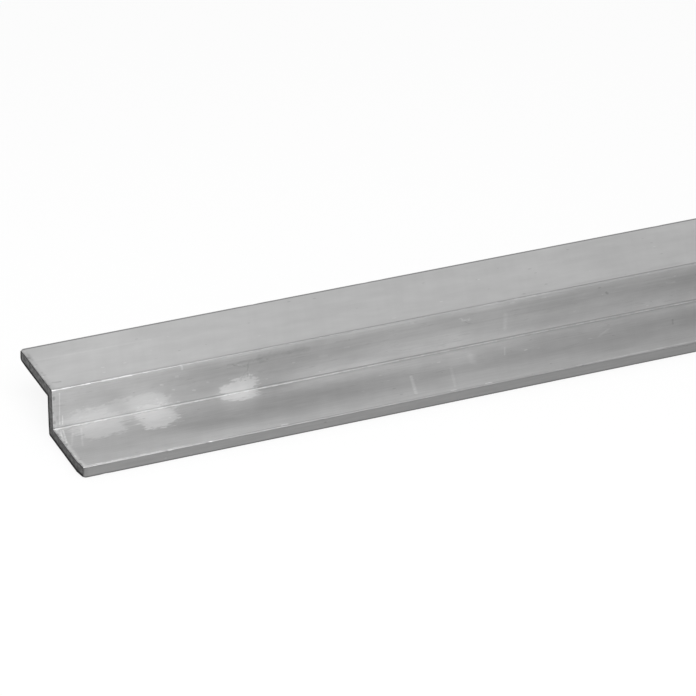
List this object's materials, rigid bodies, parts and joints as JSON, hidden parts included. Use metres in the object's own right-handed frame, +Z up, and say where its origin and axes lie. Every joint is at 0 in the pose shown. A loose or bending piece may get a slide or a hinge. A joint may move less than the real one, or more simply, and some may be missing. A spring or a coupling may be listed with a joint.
{
  "type": "aluminium z profile",
  "caption": "Straight aluminium bar of Z section, its flanges turned opposite ways at the foot and head of a low web; mill finish, sawn ends, for edging and joining panels.",
  "frame": {"origin": "On the floor under the middle of the bar: halfway along its length and halfway across its overall width.", "axes": "+X along the bar, +Y from the bottom flange's front edge towards the top flange's rear edge, +Z up."},
  "size_m": [1, 0.028, 0.009],
  "materials": {
    "mill_aluminium": "plain mill finish with fine lengthwise die lines, sawn ends"
  },
  "bodies": {
    "root": {"z_profile": "mill_aluminium"}
  },
  "joints": []
}
